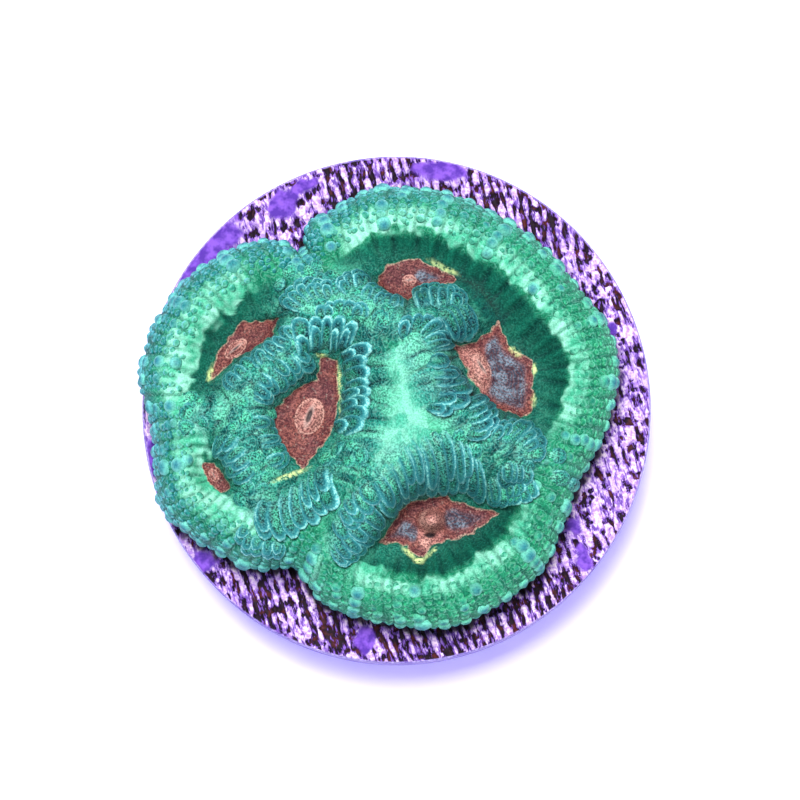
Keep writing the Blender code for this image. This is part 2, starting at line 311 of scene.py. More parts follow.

# Fired white ceramic under a lilac crust: matt, with its ridges bleached pale, its pits full of dark silt,
# and a painted contact shadow round the coral's foot
SCRATCH_MM = 0.1
PORE_MM = 0.07
ceramic, tree, shader = surface("crusted_fired_ceramic")
place = add_node(tree, "ShaderNodeTexCoord").outputs["Object"]
drawn_out = add_node(
    tree, "ShaderNodeMapping", {"vector_type": "TEXTURE"}, Vector=place, Rotation=(0, 0, radians(16)),
    Scale=(1, 3.5, 3.5),
).outputs["Vector"]
scratch, pores = (
    add_node(
        tree, "ShaderNodeTexNoise", None, Vector=where, Scale=1 / (2 * size * MM), Detail=detail,
        Roughness=rough,
    ).outputs["Fac"]
    for where, size, detail, rough in ((drawn_out, SCRATCH_MM, 2.5, 0.65), (place, PORE_MM, 3.0, 0.6))
)
depth = add_node(
    tree, "ShaderNodeMath", {"operation": "MULTIPLY_ADD"}, _0=fade(tree, "sunk"), _1=0.58,
    _2=fade(tree, (scratch, 0.36, 0.62, 0, 0.66)),
).outputs[0]
crust = layered(tree, "#B88CDC", ((0.12, 0.40, 0.60), "#FFE6F8"), ((1.6, 0.45, 0.65, 0, 0.4), "#9470CC"))
silt = layered(tree, "#1A0618", ((0.35, 0.50, 0.66), "#54201C"))
algae = layered(tree, "#542CA0", ((0.3, 0.4, 0.62), "#8654D0"))
colour = layered(
    tree, crust,
    ((depth, 0.36, 0.60), "#7850B8"),
    ((depth, 0.62, 0.80), silt),
    ("film", algae),
    # Painted contact shadow round the coral's foot
    (("stain", 0, 1, 0, 0.92), "#12040E"),
)
side = layered(tree, "#8C7CC8", ((0.09, 0.40, 0.60), "#B8ACE8"), ((1.3, 0.48, 0.62, 0, 0.6), "#7058C0"))
finish(tree, shader, layered(tree, side, ("top", colour)), 0.75, 0.3, pores, 0.5, 0.04)
disc_piece.data.materials.append(ceramic)
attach(disc_piece, "root")
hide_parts("frag_disc")


# The colony's flesh
# Soft tissue stretched over a skeleton that grew as one piece. Six mouths lie in brown-red floors among walls
# that rise to a mound in the middle, and the outer rim rolls over to the disc.

# The walls between the mouths, as x, y and height over the disc
WALLS = (
    ((-6.1, 8.6, 4.9), (-5.6, 7.4, 5.6), (-4.2, 6.6, 6.2), (-2.2, 6.0, 6.8), (-0.3, 5.0, 7.3),
     (0.7, 3.6, 7.8)),
    ((0.7, 3.6, 7.8), (1.5, 1.8, 8.0), (1.6, -0.7, 8.0), (0.5, -2.6, 7.9), (-1.0, -4.2, 7.6)),
    ((1.6, -0.7, 8.0), (4.5, -1.8, 7.5), (7.1, -3.0, 6.8), (9.3, -3.8, 5.9), (11.4, -4.4, 4.9)),
    ((-1.0, -4.2, 7.6), (-1.8, -6.1, 7.1), (-2.9, -8.0, 6.4), (-4.6, -9.3, 5.3)),
    ((-4.2, 6.6, 6.2), (-5.8, 5.6, 5.9), (-6.7, 3.5, 6.1), (-8.5, 1.2, 6.0), (-10.6, -0.4, 5.5),
     (-13.4, -1.4, 4.9)),
    ((-8.5, 1.2, 6.0), (-9.2, -2.0, 6.0), (-9.1, -4.5, 5.8), (-8.4, -6.3, 5.4), (-8.0, -8.1, 4.9)),
)
MOUND = 1
# The floors round the mouths, as height and outline. The last is the valley that joins the upper two.
FLOORS = (
    (2.9, ((-1.2, 7.6), (-0.5, 8.8), (0.8, 9.2), (2.5, 8.6), (3.7, 7.8), (2.2, 7.3), (0.8, 6.6),
           (-0.2, 6.7))),
    (2.8, ((3.5, 3.7), (5.0, 3.9), (6.4, 5.1), (7.0, 3.6), (8.4, 2.7), (8.5, 0.4), (8.2, -0.8), (6.1, -0.2),
           (4.2, 1.5))),
    (2.6, ((-1.1, -8.6), (0.7, -6.1), (2.9, -5.7), (4.4, -6.3), (6.3, -6.8), (4.6, -8.0), (2.5, -8.6),
           (1.4, -9.5), (0.4, -8.6))),
    (3.9, ((-4.7, 2.9), (-3.7, 2.7), (-3.5, 0.5), (-4.1, -1.9), (-5.8, -4.1), (-7.6, -2.0), (-7.8, -0.6),
           (-6.2, 0.9), (-4.9, 1.5))),
    (2.9, ((-11.7, 1.3), (-11.2, 3.2), (-9.6, 5.1), (-7.4, 5.3), (-7.7, 4.2), (-10.0, 2.9))),
    (3.2, ((-12.0, -3.7), (-11.3, -3.6), (-10.3, -5.2), (-11.0, -5.4), (-11.7, -4.7))),
    (3.3, ((3.9, 7.9), (5.2, 7.2), (6.3, 5.6), (5.9, 6.4), (5.0, 7.4))),
)
RIM_HEIGHT = 4.7
SIDE_HEIGHT = 1.7
# The underside's rows, as inset from the widest line and height over the disc
UNDERCUT = ((0.12, 1.35), (0.32, 1.0), (0.55, 0.65), (0.85, 0.35), (1.2, 0.12))
FLANK_WIDTH = 2.2
FLANK_SHARE = 0.27
TISSUE_CELLS = 294
STEP = 0.1

# Folds and lobes, in millimetres
LOBE_PITCH = 0.95
FAN_RADIUS = 1.2
LOBE_REACH = 3.4
LOBE_RISE = 0.2
PUCKER_PITCH = 0.37
SLOPE_PITCH = 1.75
SLOPE_RISE = 0.16
ROW_PITCH = 0.6
ROW_RISE = 0.06
# The mouths and one painted shadow, as x, y, long and short half width, turn in degrees, rise, and depth of
# the slit
MOUTHS_AND_SHADOW = (
    (0.8, 7.8, 0.4, 0.3, 0, 0.15, 0.3),
    (4.75, 2.15, 1.6, 0.95, -63, 0.75, 0),
    (5.3, 2.35, 0.8, 0.42, -57, 0.1, 0.25),
    (2.2, -7.2, 0.8, 0.7, 0, 1.3, 0),
    # Not a mouth: a painted shadow under the cone above, a dark sunken slit with no rise
    (2.1, -8.1, 0.75, 0.9, 0, 0.0, 0.6),
    (-5.4, -0.8, 1.05, 0.8, 70, 0.55, 0.45),
    (-10.0, 3.5, 0.75, 0.4, 40, 0.35, 0.35),
    (-11.35, -4.4, 0.4, 0.25, -60, 0.2, 0.2),
)
# Yellow-green edges beside the mouths, as x, y, half length, half width and turn in degrees
YELLOWS = (
    (2.9, 8.6, 1.25, 0.22, -28), (-6.5, -4.5, 1.5, 0.2, 22), (7.4, 3.3, 0.55, 0.25, -40),
    (8.55, 0.3, 0.18, 0.6, 0), (0.75, -9.25, 0.8, 0.2, -42), (1.4, -9.7, 0.45, 0.2, 0),
    (2.05, -9.3, 0.75, 0.18, 40), (-11.6, 2.0, 0.2, 0.75, -15), (-3.5, 0.9, 0.12, 2.2, 3),
    (-4.7, 3.0, 0.5, 0.2, 0), (8.6, 2.2, 0.14, 0.5, 0),
)
GREYS = (
    (7.0, 1.4, 1.7, 2.0), (6.2, 3.4, 0.7, 1.1), (4.3, -7.1, 1.6, 0.8), (0.4, -8.0, 1.0, 0.8),
    (2.0, 8.1, 0.9, 0.5),
)
# Where two lobes of the colony meet and its pale band is broken
NOTCHES = ((-6.1, 8.6), (-5.6, -9.2), (11.0, -4.6))


def run_of(line):
    """How far along a line each of its points lies."""
    return np.concatenate([[0], np.cumsum(np.hypot(*np.diff(line, axis=0).T))])


def along(line, closed=False):
    """Points every STEP along a line, with their further values, and the line's length."""
    line = np.array(line + line[:1] if closed else line, float)
    run = run_of(line[:, :2])
    at = np.linspace(0, run[-1], int(run[-1] / STEP))
    return np.stack([np.interp(at, run, column) for column in line.T], axis=1), run[-1]


def nearest(points, places):
    """Each place's distance from its nearest point, and that point's number."""
    points_tree = kdtree.KDTree(len(points))
    for number, point in enumerate(points):
        points_tree.insert((point[0], point[1], 0), number)
    points_tree.balance()
    found = [points_tree.find((px, py, 0)) for px, py in places]
    return np.array([f[2] for f in found]), np.array([f[1] for f in found])


def around(polygon, places):
    """Each place's distance from a polygon, and how far round it lies there: on its line, and in shares of a
    line drawn FAN_RADIUS outside it, so that what is set out by that share fans out at the corners."""
    points = np.array(polygon)
    following = np.roll(points, -1, axis=0)
    if (points[:, 0] * following[:, 1] - following[:, 0] * points[:, 1]).sum() < 0:
        points = points[::-1]
        following = np.roll(points, -1, axis=0)
    sides = following - points
    lengths = np.hypot(*sides.T)
    run = np.concatenate([[0], np.cumsum(lengths)])
    facing = np.unwrap(np.arctan2(-sides[:, 0], sides[:, 1]))
    best = np.full(len(places), np.inf)
    on_line = np.zeros(len(places))
    fanned = np.zeros(len(places))
    for k, (point, side, length) in enumerate(zip(points, sides, lengths)):
        t = np.clip(((places - point) @ side) / length**2, 0, 1)
        gap = places - point - t[:, None] * side
        far = np.hypot(*gap.T)
        turn = (np.arctan2(gap[:, 1], gap[:, 0]) - facing[k] + pi) % (2 * pi) - pi + facing[k] - facing[0]
        closer = far < best
        best = np.where(closer, far, best)
        on_line = np.where(closer, run[k] + t * length, on_line)
        fanned = np.where(closer, run[k] + t * length + FAN_RADIUS * turn, fanned)
    outer_length = run[-1] + 2 * pi * FAN_RADIUS
    return best, on_line, (fanned / outer_length) % 1, outer_length


def mixed(points, values, places, spread):
    """The points' values, mixed at each place by how near they are."""
    out = np.empty(len(places))
    for start in range(0, len(places), 8192):
        some = places[start : start + 8192]
        apart = ((some[:, None, :] - points[None, :, :]) ** 2).sum(axis=2)
        weight = 1 / (apart + spread**2) ** 2
        out[start : start + 8192] = (weight * values).sum(axis=1) / weight.sum(axis=1)
    return out


def inside(polygon, places):
    px, py = places.T
    hit = np.zeros(len(places), bool)
    for (ax, ay), (bx, by) in zip(polygon, polygon[1:] + polygon[:1]):
        hit ^= ((ay > py) != (by > py)) & (px < (bx - ax) * (py - ay) / (by - ay + 1e-12) + ax)
    return hit


def softened(values, reach, times=2):
    """A grid of numbers, each made the mean of those round it."""
    side = TISSUE_CELLS + 1
    out = values.reshape(side, side)
    for _ in range(times):
        for axis in (0, 1):
            padded = np.pad(out, [(reach, reach) if axis == a else (0, 0) for a in (0, 1)], mode="edge")
            total = np.cumsum(padded, axis=axis)
            total = np.concatenate([np.zeros_like(total.take([0], axis)), total], axis=axis)
            width = 2 * reach + 1
            upper = total.take(range(width, width + side), axis)
            out = (upper - total.take(range(0, side), axis)) / width
    return out.ravel()


tissue, ring, angle = wrapped_grid("coral_tissue", TISSUE_CELLS)
side_count = TISSUE_CELLS + 1
heading = np.stack([np.cos(angle), np.sin(angle)], axis=1)
outer = outline_radius(angle)
crest = outer - FLANK_WIDTH
start = 1 - FLANK_SHARE
bend = np.clip((ring - start) / FLANK_SHARE, 0, 1) * pi / 2
plan_radius = np.where(ring < start, crest * ring / start, crest + FLANK_WIDTH * np.sin(bend))
on_top = CENTRE + heading * np.minimum(plan_radius, crest)[:, None]
places = CENTRE + heading * plan_radius[:, None]
east, north = places.T

turn_round = np.linspace(-pi, pi, 1440, endpoint=False)
rim_radius = outline_radius(turn_round) - FLANK_WIDTH
rim = CENTRE + rim_radius[:, None] * np.stack([np.cos(turn_round), np.sin(turn_round)], axis=1)
rim_run = run_of(np.vstack([rim, rim[:1]]))
walls = [along(wall)[0] for wall in WALLS]
wall_number = np.concatenate([np.full(len(wall), k) for k, wall in enumerate(walls)])
walls = np.concatenate(walls)
from_rim, rim_at = nearest(rim, on_top)
from_wall, wall_at = nearest(walls, on_top)
ridges = np.concatenate([rim[::8], walls[::2, :2]])
ridge_heights = np.concatenate([np.full(len(rim[::8]), RIM_HEIGHT), walls[::2, 2]])
top = mixed(ridges, ridge_heights, on_top, 1.2)

edges = [along(polygon, closed=True)[0] for _, polygon in FLOORS]
edge_points = np.concatenate(edges)
edge_depth = np.concatenate([np.full(len(points), floor) for (floor, _), points in zip(FLOORS, edges)])
from_floor = np.full(len(on_top), np.inf)
oral = np.full(len(on_top), -9.0)
lobe_run = np.zeros(len(on_top))
floor_run = np.zeros(len(on_top))
for number, (_, polygon) in enumerate(FLOORS):
    far, on_line, share, outer_length = around(polygon, on_top)
    within = inside(polygon, on_top)
    closer = far < from_floor
    count = round(outer_length / LOBE_PITCH)
    lobe_run = np.where(closer, share * count + 100 * number, lobe_run)
    floor_run = np.where(closer, on_line, floor_run)
    from_floor = np.where(closer, far, from_floor)
    if number < len(FLOORS) - 1:
        oral = np.maximum(oral, np.where(within, far, -far))
for _, polygon in FLOORS:
    from_floor[inside(polygon, on_top)] = 0
low = mixed(edge_points[::2, :2], edge_depth[::2], on_top, 0.8)

from_ridge = np.minimum(from_rim, from_wall)
rise = from_floor / (from_floor + from_ridge + 1e-6)
steep = 1 - (1 - rise) ** 2.4
wallish = smooth(from_rim / (from_rim + from_wall + 1e-6) * 1.6 - 0.3)
macro = low + (top - low) * (wallish * steep + (1 - wallish) * smooth(rise))
macro = softened(macro, 2)
macro = SIDE_HEIGHT + (macro - SIDE_HEIGHT) * np.cos(bend)
base = np.stack([east, north, DISC_TOP + macro], axis=1)
cube = base.reshape(side_count, side_count, 3)
normal = np.cross(np.gradient(cube, axis=1), np.gradient(cube, axis=0))
normal *= np.sign(normal[side_count // 2, side_count // 2, 2])
normal /= np.linalg.norm(normal, axis=2, keepdims=True) + 1e-12
for axis in range(3):
    normal[:, :, axis] = softened(normal[:, :, axis].ravel(), 2).reshape(side_count, side_count)
normal = normal.reshape(-1, 3)
normal /= np.linalg.norm(normal, axis=1, keepdims=True)

# Ridges run up from each mouth on its steep side
lobe_run += 0.5 * (value_noise(east / 0.9 + 50, north / 0.9 + 50, 11) - 0.5)
crossing = 2 * (lobe_run - np.floor(lobe_run)) - 1
hang = smooth(from_floor / 0.2) * smooth((LOBE_REACH - from_floor) / 1.2 + 0.3) * wallish
lobes = LOBE_RISE * hang * (1 - np.abs(crossing) ** 2.4)

# The slopes under the rim are smooth, with soft folds down to the floor
rim_share = rim_run[rim_at]
slope = (1 - wallish) * smooth(from_floor / 1.0) * smooth(from_rim / 0.6)
folds = 0.6 * np.cos(2 * pi * rim_share / SLOPE_PITCH)
folds += 0.4 * np.cos(2 * pi * rim_share / (SLOPE_PITCH / 2.2))
slope_relief = SLOPE_RISE * folds * slope

# Mouths stand up on their floors and open in a slit, and a dark slit under one cone is a painted shadow
mouth_relief = np.zeros(len(on_top))
swell = np.zeros(len(on_top))
mouth = np.full(len(on_top), 9.0)
slit = np.full(len(on_top), 9.0)
for at_x, at_y, long, wide, turn, rise_up, sunk_in in MOUTHS_AND_SHADOW:
    away = spot(on_top, at_x, at_y, long, wide, turn)
    opening = spot(on_top, at_x, at_y, long * 0.42, wide * 0.16, turn)
    mouth_relief += rise_up * smooth((1.35 - away) / 1.1) - sunk_in * smooth((1.25 - opening) / 0.6)
    if rise_up and sunk_in:
        mouth = np.minimum(mouth, away)
    if sunk_in:
        slit = np.minimum(slit, opening)
    swell = np.maximum(swell, smooth((1.2 - away) / 0.3))
shore = oral + 0.3 * (value_noise(east / 0.35, north / 0.35, 14) - 0.5)
oral_mask = smooth((shore + 0.10) / 0.22)
pucker = np.cos(2 * pi * floor_run / PUCKER_PITCH + 4 * value_noise(east, north, 18))
pucker *= 0.02 * oral_mask

fine = value_noise(east / 0.22 + 70, north / 0.22 + 70, 15) - 0.5
rim_zone = smooth((1.6 - from_rim) / 0.8) * (1 - wallish)
rows = np.cos(2 * pi * rim_share / ROW_PITCH)
relief = lobes + slope_relief + mouth_relief + pucker + 0.05 * fine * (1 - oral_mask)
relief += ROW_RISE * rows * rim_zone
shaped = base + normal * relief[:, None]
move_points(tissue, shaped)
close_below(tissue, CENTRE, [(inset, DISC_TOP + height) for inset, height in UNDERCUT])

convex = relief - softened(relief, 2)
from_mound = np.where(wall_number[wall_at] == MOUND, from_wall, np.minimum(from_wall + 1.6, 9))
plateau = smooth((2.4 - from_mound) / 1.5)
ragged = value_noise(rim_share / 0.8, from_rim / 0.5 + 20, 16)
from_notch = np.min([np.hypot(east - nx, north - ny) for nx, ny in NOTCHES], axis=0)
beside_notch = smooth((from_notch - 2.4) / 1.6)
leftward = 0.4 * smooth((-east - 6) / 4)
upper_left = smooth(0.5 + 0.6 * np.cos(angle - radians(150)))
band = smooth((0.90 + leftward + 1.0 * (ragged - 0.5) - from_rim) / 0.22) * beside_notch
band *= smooth((0.25 + 0.3 * upper_left - bend) / 0.35) * (0.75 + 0.25 * smooth(from_rim / 0.5))
yellow = np.max([smooth((1.1 - spot(on_top, *oval)) / 0.7) for oval in YELLOWS], axis=0)
yellow *= 0.45 + 0.75 * smooth(value_noise(east / 0.3 + 33, north / 0.3 + 33, 17) * 1.6 - 0.4)
grey = np.max([smooth((1.1 - spot(on_top, *oval)) / 0.35) for oval in GREYS], axis=0)
grey *= 1 - swell
from_valley = around(FLOORS[-1][1], on_top)[0]
under_rim = (1 - wallish) * smooth((from_rim - 0.7) / 0.6) * (bend == 0)
fuzz = value_noise(lobe_run * 1.6 + 60, from_floor / 1.6 + 60, 19)
fuzz = 0.6 * fuzz + 0.4 * value_noise(lobe_run * 4 + 60, from_floor / 0.8 + 60, 20)
stipple = 0.45 + 0.4 * hang - 0.05 * plateau - 0.15 * band + 0.3 * oral_mask
for name, values, below in (
    ("shore", shore, -9),
    ("mouth", mouth, 9),
    ("slit", slit, 9),
    ("swell", swell * oral_mask, 0),
    ("grey", grey * oral_mask * smooth((oral - 0.25) / 0.4), 0),
    ("yellow", yellow, 0),
    ("band", band, 0),
    ("plateau", plateau, 0),
    ("slope", np.maximum(under_rim, smooth((1.3 - from_valley) / 0.7)), 0),
    ("lobe", hang, 0),
    ("fuzz", smooth((fuzz - 0.25) / 0.5), 0),
    ("streak", smooth((fuzz - 0.42) / 0.3) * wallish * smooth(from_floor / 1.2), 0),
    # Painted shade in the creases of the relief
    ("hollow", np.clip(-convex * 9, 0, 1) * (1 - 0.7 * slope), 0),
    ("fold", slope * (0.5 + 0.5 * folds), 0),
    ("flank", bend / (pi / 2), 0.85),
    ("furrow", smooth(-rows) * rim_zone, 0),
    # How far each point lies toward the upper left, which drives painted shade by side in the materials
    ("cool", upper_left, 0),
    ("stipple", np.clip(stipple, 0, 0.85), 0.5),
):
    add_mask(tissue, name, values, below)

# Wet velvety flesh, full of green glowing pigment: a soft sheen over a fine stipple of dark specks and of
# pale specks that are painted glints
STIPPLE_MM = 0.06
CLOUD_MM = 0.7
RIPPLE_MM = 0.2


def flesh_noises(tree):
    """The fine specks and the soft clouds that all the flesh has."""
    place = add_node(tree, "ShaderNodeTexCoord").outputs["Object"]
    for size, detail, rough in ((STIPPLE_MM, 1.5, 0.7), (CLOUD_MM, 2.0, 0.6)):
        scale = 1 / (2 * size * MM)
        yield add_node(
            tree, "ShaderNodeTexNoise", None, Vector=place, Scale=scale, Detail=detail, Roughness=rough
        ).outputs["Fac"]


def contours(tree, size, lines):
    """Thin lines that run round the spots of a noise, so many from its lowest to its highest."""
    place = add_node(tree, "ShaderNodeTexCoord").outputs["Object"]
    scale = 1 / (2 * size * MM)
    spots = add_node(tree, "ShaderNodeTexNoise", None, Vector=place, Scale=scale, Detail=1.0, Roughness=0.6)
    height = fade(tree, spots.outputs["Fac"], 2 * pi * lines)
    wave = add_node(tree, "ShaderNodeMath", {"operation": "SINE"}, _0=height).outputs[0]
    return fade(tree, (wave, 0.3, 1.0))


flesh, tree, shader = surface("wet_coral_flesh")
speck, cloud = flesh_noises(tree)
# Painted shade by side: the flank darker and bluer toward the upper left, the slopes darker toward the lower
# right
flank_green = layered(tree, "#0E7C54", ((cloud, 0.35, 0.65), "#30B47C"), (("cool", 0, 1, 0, 0.75), "#14647C"))
slope_green = layered(tree, "#044036", ("fold", "#147C62"), (("cool", 0, 1, 0.45, 0), "#043830"))
green = layered(
    tree, "#0F7A58",
    ((cloud, 0.35, 0.65), "#2FA878"),
    (("flank", 0.2, 0.8), flank_green),
    (("flank", 0.80, 0.95, 0, 0.6), "#2C8CA0"),
    ("slope", slope_green),
    (("plateau", 0, 1, 0, 0.9), layered(tree, "#48BC9A", ("fuzz", "#A8F6DA"))),
    ("band", layered(tree, "#54CCA0", ((cloud, 0.4, 0.6), "#B0FFE0"))),
    (["furrow", (0.4, 0.35, 0.6, 0.1, 0.65)], "#1E8C68"),
    # Teal-navy on the lobed walls, which is also painted shade for the gaps between the septal plates that
    # lie over them
    (("lobe", 0, 1, 0, 0.6), layered(tree, "#14586A", ((cloud, 0.4, 0.6), "#2A928E"))),
    (("streak", 0, 1, 0, 0.7), "#6ADCB0"),
    # Painted shade in the creases of the relief
    (("hollow", 0.1, 0.8, 0, 0.8), "#042E36"),
    ("stipple", layered(tree, "#3C6C78", ((speck, 0.40, 0.58), "#FFFFFF")), "MULTIPLY"),
    # Pale specks: painted glints on the wet flesh
    ((speck, 0.58, 0.72, 0, 0.3), layered(tree, "#8CE0D0", ("slope", "#2C8C78"))),
    ([contours(tree, 0.5, 9), ("slope", 0, 1, 0.16, 0.12)], layered(tree, "#A4F4DC", ("slope", "#3C9C7C"))),
)
ring_place = add_node(
    tree, "ShaderNodeMath", {"operation": "MULTIPLY_ADD"}, _0=fade(tree, "shore"), _1=2 * pi / RIPPLE_MM,
    _2=fade(tree, (cloud, 0, 1, 0, 30)),
).outputs[0]
ripple = add_node(tree, "ShaderNodeMath", {"operation": "SINE"}, _0=ring_place).outputs[0]
lip, brink = (
    add_node(tree, "ShaderNodeMath", {"operation": "COMPARE"}, _0=fade(tree, name), _1=at, _2=half).outputs[0]
    for name, at, half in (("mouth", 1.05, 0.06), ("shore", -0.02, 0.05))
)
red = layered(
    tree, layered(tree, "#64343A", ((0.25, 0.4, 0.6), "#84504E")),
    ((0.8, 0.42, 0.58), layered(tree, "#703A38", ((0.25, 0.4, 0.6), "#985A50"))),
    ((0.1, 0.60, 0.70, 0, 0.35), "#A8B0A0"),
    ("swell", layered(tree, "#B87870", ((cloud, 0.4, 0.6), "#E8AC9E"))),
    ("grey", layered(tree, "#3C4454", ((0.3, 0.4, 0.6), "#748898"))),
    ((ripple, 0, 1, 0, 0.2), "#C88478"),
    ((speck, 0.60, 0.40, 0, 0.8), "#34101A"),
    ([lip, (speck, 0.4, 0.55, 0.1, 0.6)], "#E8B4A4"),
    ([("slit", 2.2, 1.3, 0, 0.45), ("mouth", 1.1, 0.9)], "#DCC0B4"),
    # Dark slits: the mouths' openings, and under one cone a painted shadow
    (("slit", 1.5, 0.8, 0, 0.85), "#262E34"),
)
place = add_node(tree, "ShaderNodeTexCoord").outputs["Object"]
EDGE_SPOTS = 1 / (2 * 0.12 * MM)
torn = add_node(tree, "ShaderNodeTexNoise", None, Vector=place, Scale=EDGE_SPOTS, Detail=3.0, Roughness=0.6)
colour = layered(
    tree, green,
    (("shore", -0.06, 0.02), red),
    ([brink, (speck, 0.4, 0.6, 0.1, 0.6)], "#D0A894"),
    (["yellow", (torn.outputs["Fac"], 0.36, 0.56)], "#E2F6A4"),
)
finish(tree, shader, colour, 0.6, 0.12, speck, 0.6, 0.05)
tissue.data.materials.append(flesh)
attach(tissue, "root")
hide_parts("coral_colony")


# The septal lobes
# Fleshy plates that the ridges of the skeleton push up. They stand in rows on the walls between the mouths
# and lap over one another, each a long rounded tongue with a beaded edge and a shorter tongue on its back.

LOBE_SIDES = 72
LOBE_RINGS = 7
LOBE_THICK = 0.22
TIP_RISE = 0.22
ROLL = 0.07
ROOT_SINK = 0.15
TIP_SHORT = 0.2
DARK_LIFT = 0.24
SCALLOP_PITCH = 0.36
SCALLOP_DEPTH = 0.045
